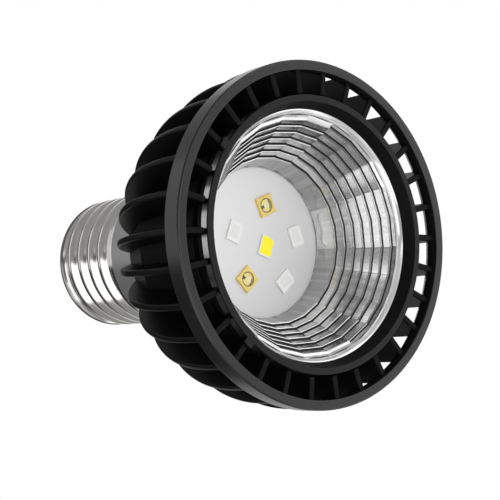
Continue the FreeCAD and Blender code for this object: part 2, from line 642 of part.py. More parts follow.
def led_place(turn, number=None):
    """The seat of an LED: a number on the circle, or else the middle."""
    x = size("array_x")
    y = size("array_y")
    if number is not None:
        angle = math.radians(size("array_phase") - 360 / size("array_count") * number)
        x += size("array_radius") * math.cos(angle)
        y += size("array_radius") * math.sin(angle)
    return raised(size("board_front"), x, y, size(turn))


def uv_led(label, place):
    """A square gold base with a round well, the chip in it and a domed window over it."""
    base = new_body(label)
    base_outline = new_sketch(base, label + "_outline", "XY_Plane")
    rectangle(base_outline, "0", "0", "uv_side", "uv_side")
    block = pad(base, label + "_block", base_outline, "uv_height", reverse=True)
    doc.recompute()
    edges = []
    for index, edge in enumerate(base.Shape.Edges, start=1):
        if abs(edge.CenterOfMass.z + size("uv_height")) < 1e-6:
            edges.append("Edge%d" % index)
    chamfer = base.newObject("PartDesign::Chamfer", label + "_edges")
    chamfer.Base = (block, edges)
    bind(chamfer, "Size", "uv_chamfer")
    well_floor = Placement(Vector(0, 0, size("uv_well_depth - uv_height")), Rotation())
    well = new_sketch(base, label + "_well_outline", "XY_Plane", well_floor)
    circle(well, "0", "0", "uv_well_radius")
    pocket(base, label + "_well", well, "uv_height", reverse=False)
    keep(base, label, place)

    chip = doc.addObject("Part::Box", label + "_chip_block")
    bind(chip, "Length", "uv_chip_side")
    bind(chip, "Width", "uv_chip_side")
    bind(chip, "Height", "uv_chip_height")
    half = size("uv_chip_side") / 2
    chip_low = size("uv_well_depth - uv_height - uv_chip_height")
    keep(chip, label.replace("led", "chip"), place * raised(chip_low, -half, -half))

    window = new_body(label + "_window")
    dome_radius = arc_radius("uv_window_radius", "uv_window_dome - uv_window_edge")
    revolve(window, label + "_window_dome", [
        ("0", "-uv_height"),
        ("0", "-uv_height - uv_window_dome", dome_radius, 1),
        ("uv_window_radius", "-uv_height - uv_window_edge"),
        ("uv_window_radius", "-uv_height"),
    ])
    keep(window, label.replace("led", "window"), place)


def small_led(label, place, length, width):
    """A flat package with one cut corner and a filled window, whose size is given."""
    package = new_body(label)
    package_outline = new_sketch(package, label + "_outline", "XY_Plane")
    outline(package_outline, [
        ("-chip_length / 2", "-chip_width / 2"),
        ("chip_length / 2", "-chip_width / 2"),
        ("chip_length / 2", "chip_width / 2 - chip_corner"),
        ("chip_length / 2 - chip_corner", "chip_width / 2"),
        ("-chip_length / 2", "chip_width / 2"),
    ])
    pad(package, label + "_block", package_outline, "chip_height", reverse=True)
    window_floor = Placement(Vector(0, 0, size("window_depth - chip_height")), Rotation())
    window = new_sketch(package, label + "_window_outline", "XY_Plane", window_floor)
    rectangle(window, "0", "0", length, width)
    pocket(package, label + "_window", window, "chip_height", reverse=False)
    keep(package, label, place)

    fill = doc.addObject("Part::Box", label + "_fill")
    bind(fill, "Length", length)
    bind(fill, "Width", width)
    bind(fill, "Height", "window_depth")
    corner = raised(-size("chip_height"), -size(length) / 2, -size(width) / 2)
    keep(fill, label.replace("led", "resin"), place * corner)


uv_led("uv_led_a", led_place("uv_a_turn", 1))
uv_led("uv_led_b", led_place("uv_b_turn", 3))
small_led("clear_led_a", led_place("clear_a_turn", 0), "clear_length", "clear_width")
small_led("clear_led_b", led_place("clear_b_turn", 2), "clear_length", "clear_width")
small_led("clear_led_c", led_place("clear_c_turn", 4), "clear_length", "clear_width")
small_led("warm_led", led_place("warm_turn"), "warm_length", "warm_width")

# Neck: a smooth collar between the heat sink and the shell, plugged into both

neck = new_body("neck")
revolve(neck, "neck_turned", [
    ("neck_bore", "neck_plug_front"),
    ("neck_plug_radius", "neck_plug_front"),
    ("neck_plug_radius", "core_back"),
    ("neck_front_radius", "core_back"),
    ("neck_back_radius", "neck_back - neck_chamfer"),
    ("neck_back_radius - neck_chamfer", "neck_back"),
    ("neck_tube_radius", "neck_back"),
    ("neck_tube_radius", "neck_tube_back"),
    ("neck_bore", "neck_tube_back"),
])
keep(neck, "neck")

# Driver: an insulating sleeve, the board in it and the parts that stand on the board

sleeve = new_body("driver_sleeve")
revolve(sleeve, "sleeve_turned", [
    ("0", "floor_back"),
    ("sleeve_radius", "floor_back"),
    ("sleeve_radius", "neck_tube_back"),
    ("sleeve_bore", "neck_tube_back"),
    ("sleeve_bore", "sleeve_floor"),
    ("0", "sleeve_floor"),
])
sleeve_hole = new_sketch(sleeve, "sleeve_hole_outline", "XY_Plane")
circle(sleeve_hole, "0", "lead_hole_offset", "lead_hole_radius")
pocket(sleeve, "sleeve_hole", sleeve_hole, "sleeve_floor + cut_past", reverse=True)
keep(sleeve, "driver_sleeve", raised(0, turn=size("fin_phase")))

driver = doc.addObject("Part::Box", "driver_board_plate")
bind(driver, "Length", "driver_width")
bind(driver, "Width", "driver_thickness")
bind(driver, "Height", "driver_length")
keep(driver, "driver_board")
bind(driver, "Placement.Base.x", "-driver_width / 2")
bind(driver, "Placement.Base.y", "-driver_thickness / 2")
bind(driver, "Placement.Base.z", "sleeve_floor")


def on_board(share, side):
    """A seat on the driver board's middle line; side is +1 for the face towards +Y."""
    away = Rotation(Vector(1, 0, 0), -90 * side)
    height = size("sleeve_floor + driver_length * " + share)
    return Placement(Vector(0, side * size("driver_thickness") / 2, height), away)


def can_capacitor(label, radius, place):
    """An upright can with its rolled groove and broken end edge."""
    can = new_body(label)
    revolve(can, label + "_can", [
        ("0", "0"),
        (radius, "0"),
        (radius, "can_groove"),
        (radius + " - can_groove_depth", "can_groove + can_groove_width / 2"),
        (radius, "can_groove + can_groove_width"),
        (radius, "can_length - can_edge"),
        (radius + " - can_edge", "can_length"),
        ("0", "can_length"),
    ])
    keep(can, label, place)


can_capacitor("smoothing_capacitor", "smoothing_radius", on_board("smoothing_share", 1))
can_capacitor("output_capacitor", "output_radius", on_board("output_share", 1))

bobbin = new_body("inductor")
revolve(bobbin, "bobbin", [
    ("0", "0"),
    ("bobbin_radius", "0"),
    ("bobbin_radius", "bobbin_flange"),
    ("winding_radius", "bobbin_flange"),
    ("winding_radius", "low_length - bobbin_flange"),
    ("bobbin_radius", "low_length - bobbin_flange"),
    ("bobbin_radius", "low_length"),
    ("0", "low_length"),
])
keep(bobbin, "inductor", on_board("inductor_share", 1))

fuse = new_body("fuse_resistor")
revolve(fuse, "fuse_barrel", [
    ("0", "0"),
    ("fuse_cap_radius", "0"),
    ("fuse_cap_radius", "fuse_cap"),
    ("fuse_waist_radius", "fuse_cap"),
    ("fuse_waist_radius", "low_length - fuse_cap"),
    ("fuse_cap_radius", "low_length - fuse_cap"),
    ("fuse_cap_radius", "low_length"),
    ("0", "low_length"),
])
keep(fuse, "fuse_resistor", on_board("fuse_share", -1))


def leaded_package(label):
    """A moulded package with sloping sides and a row of flat legs on each long side."""
    length, width, height, legs = (label + part for part in ("_length", "_width", "_height", "_legs"))
    package = new_body(label)
    foot = new_sketch(package, label + "_outline", "XY_Plane")
    rectangle(foot, "0", "0", length, width)
    block = pad(package, label + "_block", foot, height)
    bind(block, "TaperAngle", "-package_draft")
    leg_outline = new_sketch(package, label + "_leg_outline", "XZ_Plane")
    first_leg = "%s / %s / 2 - %s / 2" % (length, legs, length)
    rectangle(leg_outline, first_leg, "leg_height / 2", "leg_width", "leg_height")
    leg = pad(package, label + "_leg", leg_outline, width + " + leg_reach * 2", symmetric=True)
    row = package.newObject("PartDesign::LinearPattern", label + "_legs")
    row.Originals = [leg]
    row.Direction = (leg_outline, ["H_Axis"])
    row.Mode = "Spacing"
    bind(row, "Offset", "%s / %s" % (length, legs))
    bind(row, "Occurrences", legs)
    package.Tip = row
    keep(package, label, on_board(label + "_share", -1))


leaded_package("rectifier")
leaded_package("driver_chip")


def lead(label, length, place):
    """A straight round wire of the given length."""
    wire = doc.addObject("Part::Cylinder", label + "_wire")
    bind(wire, "Radius", "lead_radius")
    bind(wire, "Height", length)
    keep(wire, label, place)


lead_face = size("driver_thickness / 2 + lead_radius")
led_lead_length = "sleeve_floor + lead_reach - board_back"
lead("led_lead_a", led_lead_length, raised(size("board_back"), -size("lead_gap"), lead_face))
lead("led_lead_b", led_lead_length, raised(size("board_back"), size("lead_gap"), lead_face))
lead("live_lead", "insulator_front - driver_back", raised(size("driver_back")))
sideways = Placement(
    Vector(size("neutral_start"), lead_face, size("driver_back - neutral_step")),
    Rotation(Vector(0, 1, 0), 90),
)
lead("neutral_lead", "shell_bore - neutral_gap - neutral_start", sideways)

# Screw shell: a thin shell with a rounded helical ridge, a smooth collar and a rolled end

shell = new_body("screw_shell")
revolve(shell, "shell_wall", [
    ("shell_bore", "neck_back"),
    ("collar_radius", "neck_back"),
    ("collar_radius", "collar_back"),
    ("shell_root_radius", "collar_slope"),
    ("shell_root_radius", "roll_front"),
    ("roll_radius", "roll_crest", "roll_curve", 1),
    ("shell_end_radius", "shell_end"),
    ("shell_hole", "shell_end"),
    ("shell_hole", "shell_flange"),
    ("shell_bore", "shell_flange"),
])
ridge = new_sketch(shell, "thread_ridge", "XZ_Plane")
ridge_radius = arc_radius("thread_half_width", "thread_radius - shell_root_radius + thread_sink")
outline(ridge, [
    ("shell_root_radius - thread_sink", "thread_start - thread_half_width", ridge_radius, 1),
    ("shell_root_radius - thread_sink", "thread_start + thread_half_width"),
])
thread = shell.newObject("PartDesign::AdditiveHelix", "thread")
thread.Profile = (ridge, [""])
thread.ReferenceAxis = (ridge, ["V_Axis"])
thread.Mode = "pitch-turns-angle"
bind(thread, "Pitch", "thread_pitch")
bind(thread, "Turns", "thread_turns")
keep(shell, "screw_shell")

# Base insulator and the centre contact riveted through it

insulator = new_body("base_insulator")
revolve(insulator, "insulator_turned", [
    ("rivet_hole", "insulator_front"),
    ("insulator_flange_radius", "insulator_front"),
    ("insulator_flange_radius", "shell_flange"),
    ("insulator_neck_radius", "shell_flange"),
    ("insulator_neck_radius", "insulator_shoulder", "insulator_curve", -1),
    ("insulator_tip_radius", "insulator_tip"),
    ("rivet_hole", "insulator_tip"),
])
keep(insulator, "base_insulator")

contact = new_body("centre_contact")
contact_dome = arc_radius("contact_radius", "contact_rise")
revolve(contact, "contact_turned", [
    ("0", "insulator_front"),
    ("rivet_radius", "insulator_front"),
    ("rivet_radius", "insulator_tip"),
    ("contact_radius", "insulator_tip"),
    ("contact_radius", "contact_edge", contact_dome, 1),
    ("0", "lamp_height"),
])
keep(contact, "centre_contact")

# Check every feature and every piece, then write one file for each piece

doc.recompute()
for item in doc.Objects:
    if "Invalid" in item.State or "Error" in item.State:
        raise RuntimeError("%s failed: %s" % (item.Name, item.State))
os.makedirs("parts", exist_ok=True)
for piece in pieces:
    if piece.Shape.isNull() or not piece.Shape.isValid():
        raise RuntimeError(piece.Label + " has no valid shape")
for piece in pieces:
    piece.Shape.exportStep("parts/%s.step" % piece.Label)
    print("%-20s %10.2f mm3  %d solid(s)" % (piece.Label, piece.Shape.Volume, len(piece.Shape.Solids)))
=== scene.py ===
import math

import bmesh
import bpy
from mathutils import Matrix, Vector


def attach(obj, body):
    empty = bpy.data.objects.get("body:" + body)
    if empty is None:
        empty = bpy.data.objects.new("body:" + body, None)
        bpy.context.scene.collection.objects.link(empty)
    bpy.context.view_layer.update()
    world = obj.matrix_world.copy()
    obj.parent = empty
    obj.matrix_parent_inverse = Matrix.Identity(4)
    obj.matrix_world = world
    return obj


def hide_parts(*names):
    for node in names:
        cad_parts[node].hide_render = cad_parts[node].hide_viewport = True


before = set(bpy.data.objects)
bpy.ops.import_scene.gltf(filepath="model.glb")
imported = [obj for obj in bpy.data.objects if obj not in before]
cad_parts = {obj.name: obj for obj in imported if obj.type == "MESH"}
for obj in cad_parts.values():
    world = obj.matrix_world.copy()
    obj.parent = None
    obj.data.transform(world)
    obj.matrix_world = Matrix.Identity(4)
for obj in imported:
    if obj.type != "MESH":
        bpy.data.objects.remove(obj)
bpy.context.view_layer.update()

# Sizes in millimetres in the lamp's own frame: radius from the axis, height above the front ring's
# face. The light side is at height 0 and the screw base on top.

MM = 0.001
TAU = 2 * math.pi


# Profiles and meshes


def rounded(corners, closed=True):
    """Round the corners of an outline; a corner is (x, y) or (x, y, radius)."""
    points = []
    count = len(corners)
    for number, corner in enumerate(corners):
        here = Vector(corner[:2])
        inner = closed or 0 < number < count - 1
        if len(corner) == 2 or not inner:
            points.append(here)
            continue
        before = (Vector(corners[number - 1][:2]) - here).normalized()
        after = (Vector(corners[(number + 1) % count][:2]) - here).normalized()
        half = before.angle(after) / 2
        reach = corner[2] / math.tan(half)
        centre = here + (before + after).normalized() * (corner[2] / math.sin(half))
        start = here + before * reach - centre
        sweep = start.angle_signed(here + after * reach - centre)
        steps = max(2, round(abs(sweep) / math.radians(22)))
        for step in range(steps + 1):
            turn = Matrix.Rotation(-sweep * step / steps, 2)
            points.append(centre + turn @ start)
    return [tuple(point) for point in points]


def arc(start, end, radius, side, steps):
    """Points on an arc between two points, without its last; the centre lies left (+1) or right (-1)."""
    start, end = Vector(start), Vector(end)
    chord = end - start
    left = Vector((-chord.y, chord.x)).normalized()
    centre = (start + end) / 2 + left * side * math.sqrt(radius ** 2 - (chord.length / 2) ** 2)
    sweep = (start - centre).angle_signed(end - centre)
    turns = [Matrix.Rotation(-sweep * step / steps, 2) for step in range(steps)]
    return [tuple(centre + turn @ (start - centre)) for turn in turns]


class Shape:
    """A mesh under construction, in millimetres, with a material number for each face."""

    def __init__(self):
        self.points = []
        self.faces = []
        self.slots = []

    def add(self, points, faces, slot=0):
        first = len(self.points)
        self.points += [tuple(point) for point in points]
        self.faces += [tuple(first + index for index in face) for face in faces]
        self.slots += [slot] * len(faces)

    def lathe(self, profile, segments=180, slot=0, closed=True):
        """Turn a profile of (radius, height) round the axis; radius 0 is one shared point."""
        rings = []
        points = []
        for radius, height in profile:
            if radius < 1e-6:
                rings.append([len(points)] * segments)
                points.append((0, 0, height))
                continue
            rings.append(range(len(points), len(points) + segments))
            for number in range(segments):
                angle = TAU * number / segments
                points.append((radius * math.cos(angle), radius * math.sin(angle), height))
        faces = []
        last = len(rings) if closed else len(rings) - 1
        for row in range(last):
            near, far = rings[row], rings[(row + 1) % len(rings)]
            for number in range(segments):
                after = (number + 1) % segments
                face = [near[number], near[after], far[after], far[number]]
                face = [index for spot, index in enumerate(face) if index not in face[:spot]]
                if len(face) > 2:
                    faces.append(face)
        self.add(points, faces, slot)

    def plate(self, outline, low, high, edge, place=None, slot=0, segments=2):
        """A flat plate of this outline from low to high, with its two rims rounded."""
        work = bmesh.new()
        floor = [work.verts.new((x, y, low)) for x, y in outline]
        face = work.faces.new(floor)
        grown = bmesh.ops.extrude_face_region(work, geom=[face])
        top = [item for item in grown["geom"] if isinstance(item, bmesh.types.BMVert)]
        bmesh.ops.translate(work, verts=top, vec=(0, 0, high - low))
        bmesh.ops.recalc_face_normals(work, faces=work.faces)
        if edge:
            rims = [item for item in work.edges if abs(item.verts[0].co.z - item.verts[1].co.z) < 1e-6]
            bmesh.ops.bevel(work, geom=rims, offset=edge, segments=segments, profile=0.5, affect="EDGES")
        if place is not None:
            bmesh.ops.transform(work, matrix=place, verts=work.verts)
        work.verts.index_update()
        points = [vert.co.copy() for vert in work.verts]
        faces = [[vert.index for vert in item.verts] for item in work.faces]
        work.free()
        self.add(points, faces, slot)

    def finish_where(self, slot, test):
        """Give this material number to the faces whose points all pass a test of radius and height."""
        for number, face in enumerate(self.faces):
            corners = [self.points[index] for index in face]
            if all(test(math.hypot(x, y), z) for x, y, z in corners):
                self.slots[number] = slot

    def build(self, name, materials, replaced=(), sharp=32.0):
        """Make the object, shade it smooth up to the sharp angle and let it ride with the lamp."""
        mesh = bpy.data.meshes.new(name)
        mesh.from_pydata([Vector(point) * MM for point in self.points], [], self.faces)
        for item in materials:
            mesh.materials.append(item)
        mesh.polygons.foreach_set("material_index", self.slots)
        mesh.polygons.foreach_set("use_smooth", [True] * len(self.faces))
        work = bmesh.new()
        work.from_mesh(mesh)
        bmesh.ops.recalc_face_normals(work, faces=work.faces)
        work.to_mesh(mesh)
        work.free()
        mesh.set_sharp_from_angle(angle=math.radians(sharp))
        piece = bpy.data.objects.new(name, mesh)
        bpy.context.scene.collection.objects.link(piece)
        weighted = piece.modifiers.new("weighted", "WEIGHTED_NORMAL")
        weighted.keep_sharp = True
        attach(piece, "root")
        if replaced:
            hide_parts(*replaced)
        return piece


def turned(angle, x=0.0, y=0.0, z=0.0):
    """A place in the lamp's frame, turned about the vertical, in degrees."""
    return Matrix.Translation((x, y, z)) @ Matrix.Rotation(math.radians(angle), 4, "Z")


# Materials


def node(tree, kind, **values):
    made = tree.nodes.new("ShaderNode" + kind)
    for name, value in values.items():
        if hasattr(made, name):
            setattr(made, name, value)
        else:
            made.inputs[name.replace("_", " ")].default_value = value
    return made


def sums(tree, operation, *values):
    """One arithmetic node; its inputs are numbers or other nodes' outputs."""
    made = node(tree, "Math", operation=operation)
    for number, value in enumerate(values):
        if isinstance(value, bpy.types.NodeSocket):
            tree.links.new(value, made.inputs[number])
        else:
            made.inputs[number].default_value = value
    return made.outputs[0]


def surface(name, dark, light, rough, metallic=0.0, specular=0.5, coat=0.0, grain=1500.0,
            stretch=(1, 1, 1), bump=0.1, depth=0.02, coordinate="Object"):
    """A material whose colour, roughness and relief follow one noise; depth is in millimetres."""
    made = bpy.data.materials.new(name)
    made.use_nodes = True
    tree = made.node_tree
    shader = tree.nodes["Principled BSDF"]
    shader.inputs["Metallic"].default_value = metallic
    shader.inputs["Specular IOR Level"].default_value = specular
    shader.inputs["Coat Weight"].default_value = coat
    place = node(tree, "TexCoord")
    scale = node(tree, "Mapping", Scale=stretch)
    noise = node(tree, "TexNoise", Scale=grain, Detail=4.0, Roughness=0.6)
    colour = node(tree, "ValToRGB")
    colour.color_ramp.elements[0].position = 0.3
    colour.color_ramp.elements[1].position = 0.7
    colour.color_ramp.elements[0].color = (*dark, 1)
    colour.color_ramp.elements[1].color = (*light, 1)
    gloss = node(tree, "MapRange", To_Min=rough[0], To_Max=rough[1])
    relief = node(tree, "Bump", Strength=bump, Distance=depth * MM)
    link = tree.links.new
    link(place.outputs[coordinate], scale.inputs["Vector"])
    link(scale.outputs["Vector"], noise.inputs["Vector"])
    link(noise.outputs["Fac"], colour.inputs["Fac"])
    link(noise.outputs["Fac"], gloss.inputs["Value"])
    link(noise.outputs["Fac"], relief.inputs["Height"])
    link(colour.outputs["Color"], shader.inputs["Base Color"])
    link(gloss.outputs["Result"], shader.inputs["Roughness"])
    link(relief.outputs["Normal"], shader.inputs["Normal"])
    return made


def grey(level):
    return (level, level, level)


# Black coats: the ring's wall, the fins, the core behind them and the bezel. The fins' and the core's
# coats are darker copies of the ring's coat, painted shade on the one casting.

black_coat = surface("black_coat", grey(0.009), grey(0.013), (0.22, 0.30), specular=0.5, grain=1800,
                     bump=0.06)
fin_shade_coat = surface("fin_shade_coat", grey(0.003), grey(0.005), (0.36, 0.44), specular=0.09, grain=1800,
                   bump=0.06)
core_shade_coat = surface("core_shade_coat", grey(0.004), grey(0.007), (0.40, 0.50), specular=0.06, grain=1800,
                    bump=0.06)
bezel_black = surface("bezel_black", grey(0.005), grey(0.008), (0.26, 0.32), specular=0.24,
                      grain=2600, bump=0.04)

# Mirror cup: brushed facets; a darker mirror copy, painted shade, towards the board and on some lips and
# rows; a dim mirror on the lip edges, painted shade; rim; flange; and black lines on the steps, a painted
# shadow of their grooves

mirror = surface("mirror", grey(0.66), grey(0.93), (0.10, 0.18), metallic=1.0, grain=1.0,
                 stretch=(70, 0.8, 1), bump=0.05, depth=0.010, coordinate="UV")
mirror_shaded = surface("mirror_shaded", grey(0.34), grey(0.58), (0.14, 0.24), metallic=1.0, grain=1.0,
                      stretch=(90, 0.8, 1), bump=0.08, depth=0.010, coordinate="UV")
# A dim mirror for the lips' outer edges: painted shade.
mirror_edge_shade = surface("mirror_edge_shade", grey(0.15), grey(0.21), (0.16, 0.24), metallic=1.0, grain=900,
                      bump=0.03)
flange_satin = surface("flange_satin", grey(0.36), grey(0.48), (0.18, 0.26), metallic=1.0,
                       grain=900, bump=0.03)
mirror_rim = surface("mirror_rim", grey(0.88), grey(0.95), (0.08, 0.14), metallic=0.55, grain=900,
                     bump=0.02, depth=0.004)
# Painted shadow: the black lines stand in for the shaded groove at each step.
step_shadow_line = surface("step_shadow_line", grey(0.004), grey(0.010), (0.5, 0.6), specular=0.2, grain=3000)

# LED board, a little darker towards one side: painted shade

BOARD_LIT, BOARD_SHADE = 1.04, 0.78
BOARD_SHADE_REACH = 13.0
board_white = surface("board_white", (0.88, 0.88, 0.89), (0.91, 0.91, 0.92), (0.4, 0.5), grain=60,
                      bump=0.02)
shaded = board_white.node_tree
board_spot = node(shaded, "TexCoord")
board_axes = node(shaded, "SeparateXYZ")
shaded.links.new(board_spot.outputs["Object"], board_axes.inputs["Vector"])
# Painted shade: the white dims from the lit side of the board to the far side.
down = sums(shaded, "MULTIPLY", board_axes.outputs["X"], -0.7)
across = sums(shaded, "MULTIPLY_ADD", board_axes.outputs["Y"], 0.7, down)
fall = node(shaded, "MapRange", From_Min=-BOARD_SHADE_REACH * MM, From_Max=BOARD_SHADE_REACH * MM,
            To_Min=BOARD_LIT, To_Max=BOARD_SHADE)
shaded.links.new(across, fall.inputs["Value"])
shade_painted_colour = node(shaded, "VectorMath", operation="SCALE")
shaded.links.new(shaded.nodes["Color Ramp"].outputs["Color"], shade_painted_colour.inputs[0])
shaded.links.new(fall.outputs["Result"], shade_painted_colour.inputs["Scale"])
shaded.links.new(shade_painted_colour.outputs["Vector"], shaded.nodes["Principled BSDF"].inputs["Base Color"])

# LEDs

gold = surface("gold", (0.88, 0.64, 0.16), (0.95, 0.74, 0.23), (0.3, 0.4), metallic=0.2, grain=3500,
               bump=0.05)
well_gold = surface("well_gold", (0.96, 0.82, 0.28), (1.0, 0.90, 0.40), (0.3, 0.4), metallic=0.1,
                    grain=3500)
ceramic = surface("ceramic", (0.93, 0.93, 0.90), (0.96, 0.96, 0.94), (0.35, 0.5), grain=4000, bump=0.03)
chip_dark = surface("chip_dark", (0.010, 0.010, 0.012), (0.03, 0.03, 0.035), (0.2, 0.35), grain=6000)
chip_face = surface("chip_face", (0.92, 0.84, 0.46), (1.0, 0.94, 0.62), (0.2, 0.3), metallic=0.2,
                    grain=5200)
resin = surface("resin", (0.86, 0.87, 0.84), (0.93, 0.94, 0.92), (0.15, 0.25), grain=1500, bump=0.05)
phosphor = surface("phosphor", (0.96, 0.86, 0.01), (1.0, 0.92, 0.03), (0.3, 0.42), grain=2600, bump=0.1)
# Painted glow: the yellow phosphor gives off a little light of its own.
painted_glow = phosphor.node_tree.nodes["Principled BSDF"]
painted_glow.inputs["Emission Color"].default_value = (1.0, 0.85, 0.0, 1)
painted_glow.inputs["Emission Strength"].default_value = 0.15

# Neck, screw base and the driver inside

neck_satin = surface("neck_satin", grey(0.42), grey(0.47), (0.28, 0.36), metallic=0.75, grain=1.0,
                     stretch=(300, 300, 2600), bump=0.05)
nickel = surface("nickel", (0.66, 0.65, 0.63), (0.80, 0.79, 0.77), (0.08, 0.2), metallic=1.0, grain=1.0,
                 stretch=(260, 260, 1800), bump=0.06, depth=0.01)
nickel_rolled = surface("nickel_rolled", grey(0.20), grey(0.27), (0.14, 0.24), metallic=1.0,
                        grain=700, bump=0.04)
base_black = surface("base_black", grey(0.010), grey(0.02), (0.12, 0.22), coat=0.3, grain=900, bump=0.05)
solder = surface("solder", grey(0.50), grey(0.66), (0.25, 0.45), metallic=1.0, grain=700, bump=0.3,
                 depth=0.06)
pad_grey = surface("pad_grey", (0.20, 0.21, 0.23), (0.26, 0.27, 0.29), (0.6, 0.75), grain=2600)
sleeve_white = surface("sleeve_white", (0.60, 0.59, 0.55), (0.68, 0.67, 0.63), (0.4, 0.5), grain=1500)
board_green = surface("board_green", (0.012, 0.08, 0.03), (0.02, 0.12, 0.05), (0.3, 0.42), grain=1600)
can_sleeve = surface("can_sleeve", (0.010, 0.010, 0.016), (0.02, 0.02, 0.03), (0.2, 0.3), grain=1500)
winding = surface("winding", (0.30, 0.09, 0.03), (0.52, 0.20, 0.08), (0.25, 0.4), metallic=0.8,
                  grain=1.0, stretch=(400, 9000, 400), bump=0.4, depth=0.05)
resistor = surface("resistor", (0.05, 0.14, 0.09), (0.08, 0.2, 0.13), (0.35, 0.45), grain=2200)
package = surface("package", grey(0.012), grey(0.022), (0.5, 0.65), grain=3200, bump=0.2)
wire_red = surface("wire_red", (0.30, 0.012, 0.01), (0.42, 0.02, 0.015), (0.35, 0.45), grain=2500)
wire_black = surface("wire_black", grey(0.01), grey(0.02), (0.35, 0.45), grain=2500)
tinned = surface("tinned", grey(0.50), grey(0.64), (0.2, 0.35), metallic=1.0, grain=2500)

# Thin clear quartz: it only reflects as much as its Fresnel curve says, and the rest passes on

quartz = surface("quartz", (0.95, 0.96, 0.97), (0.99, 0.99, 1.0), (0.02, 0.06), metallic=1.0,
                 grain=1300, bump=0.03)
GLEAM = 0.35
clear = quartz.node_tree
gleam = node(clear, "Fresnel", IOR=1.46)
clear.links.new(clear.nodes["Bump"].outputs["Normal"], gleam.inputs["Normal"])
gleam_share = sums(clear, "MULTIPLY", gleam.outputs["Fac"], GLEAM)
clear.links.new(gleam_share, clear.nodes["Principled BSDF"].inputs["Alpha"])

# Pieces that keep their CAD shape

KEPT = {
    "led_board": board_white, "thermal_pad": pad_grey, "driver_sleeve": sleeve_white,
    "driver_board": board_green, "smoothing_capacitor": can_sleeve, "output_capacitor": can_sleeve,
    "inductor": winding, "fuse_resistor": resistor, "rectifier": package, "driver_chip": package,
    "led_lead_a": wire_red, "led_lead_b": wire_black, "live_lead": tinned, "neutral_lead": tinned,
    "uv_chip_a": chip_face, "uv_chip_b": chip_face, "uv_window_a": quartz, "uv_window_b": quartz,
}
for name, finish in KEPT.items():
    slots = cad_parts[name].data.materials
    slots.clear()
    slots.append(finish)

# Heat sink: front ring, thirty fins, core and the thin ring behind the bezel, one black casting; the
# fins, the core and the thin ring wear the darker coats, painted shade

RING_RADIUS, RING_BORE, RING_HIGH = 30.493, 28.7, 3.8
CORE_BACK, DRIVER_BORE, LEAD_BORE = 37.0, 12.4, 2.0
WELL_RADIUS, WELL_FLOOR, FLOOR_BACK = 15.0, 18.9, 21.6
CARRIER_BORE, CARRIER_RADIUS = 23.7, 24.3
CARRIER_FRONT, CARRIER_BACK = 2.0, 3.1
FIN_COUNT = 30
FIN_PHASE = 1.0
FIN_HALF, FIN_EDGE = 0.6, 0.36
FIN_OUT, FIN_BACK = 30.25, 36.7
sink = Shape()
ring_profile = [(RING_BORE, 0, 0.2), (RING_RADIUS, 0, 0.35), (RING_RADIUS, RING_HIGH, 0.25),
                (29.8, RING_HIGH, 0.2), (RING_BORE, 2.3, 0.3)]
sink.lathe(rounded(ring_profile))
core_profile = [(23.6, 5.3, 0.3), (21.5, 24.0, 2.0), (15.0, CORE_BACK, 0.4),
                (DRIVER_BORE, CORE_BACK, 0.2), (DRIVER_BORE, FLOOR_BACK), (LEAD_BORE, FLOOR_BACK),
                (LEAD_BORE, WELL_FLOOR), (WELL_RADIUS, WELL_FLOOR), (WELL_RADIUS, 16.0), (22.2, 5.3, 0.3)]
sink.lathe(rounded(core_profile), slot=1)
carrier_profile = [(CARRIER_BORE, CARRIER_FRONT), (CARRIER_RADIUS, CARRIER_FRONT),
                   (CARRIER_RADIUS, CARRIER_BACK), (CARRIER_BORE, CARRIER_BACK)]
sink.lathe(carrier_profile, slot=1)
fin_outline = [(24.75, 0.7), (29.6, 0.7), (FIN_OUT, 1.9)]
fin_outline += arc((FIN_OUT, 6.7), (15.3, FIN_BACK), 37.6, 1, 22)
fin_outline += [(15.3, FIN_BACK), (14.1, FIN_BACK), (20.6, 23.1), (22.7, 6.2), (24.0, 2.55),
                (24.75, 1.75)]
standing = Matrix.Rotation(math.radians(90), 4, "X")
for number in range(FIN_COUNT):
    upright = turned(FIN_PHASE + 360 * number / FIN_COUNT) @ standing
    sink.plate(fin_outline, -FIN_HALF, FIN_HALF, FIN_EDGE, upright, slot=2, segments=3)
sink.build("sink_casting", [black_coat, core_shade_coat, fin_shade_coat], ["heat_sink"])

# Bezel: a flat rim, an inner cone in the core's darker coat, painted shade, and two clip lugs

BEZEL_FRONT, BEZEL_BACK = 0.1, 2.3
BEZEL_RADIUS, CONE_RADIUS = 24.4, 23.15
LUG_ANGLE, LUG_BACK = 48.0, 0.69
bezel = Shape()
bezel_profile = [(CONE_RADIUS, BEZEL_FRONT, 0.12), (BEZEL_RADIUS, BEZEL_FRONT, 0.2), (BEZEL_RADIUS, 0.45),
                 (23.6, 0.45), (23.6, 1.3), (22.7, 1.3), (22.7, BEZEL_BACK), (22.15, BEZEL_BACK, 0.06)]
bezel.lathe(rounded(bezel_profile), segments=240)
lug = [(24.0, -0.9), (25.4, -0.9), (25.4, 0.9), (24.0, 0.9)]
for angle in (180 + LUG_ANGLE, -LUG_ANGLE):
    bezel.plate(lug, BEZEL_FRONT, LUG_BACK, 0.1, turned(angle + FIN_PHASE))
bezel.finish_where(1, lambda radius, height: radius < CONE_RADIUS + 0.05)
bezel.build("bezel_ring", [bezel_black, core_shade_coat], ["bezel"])

# Reflector: a smooth rim, then seven steps of flat facets down to the board

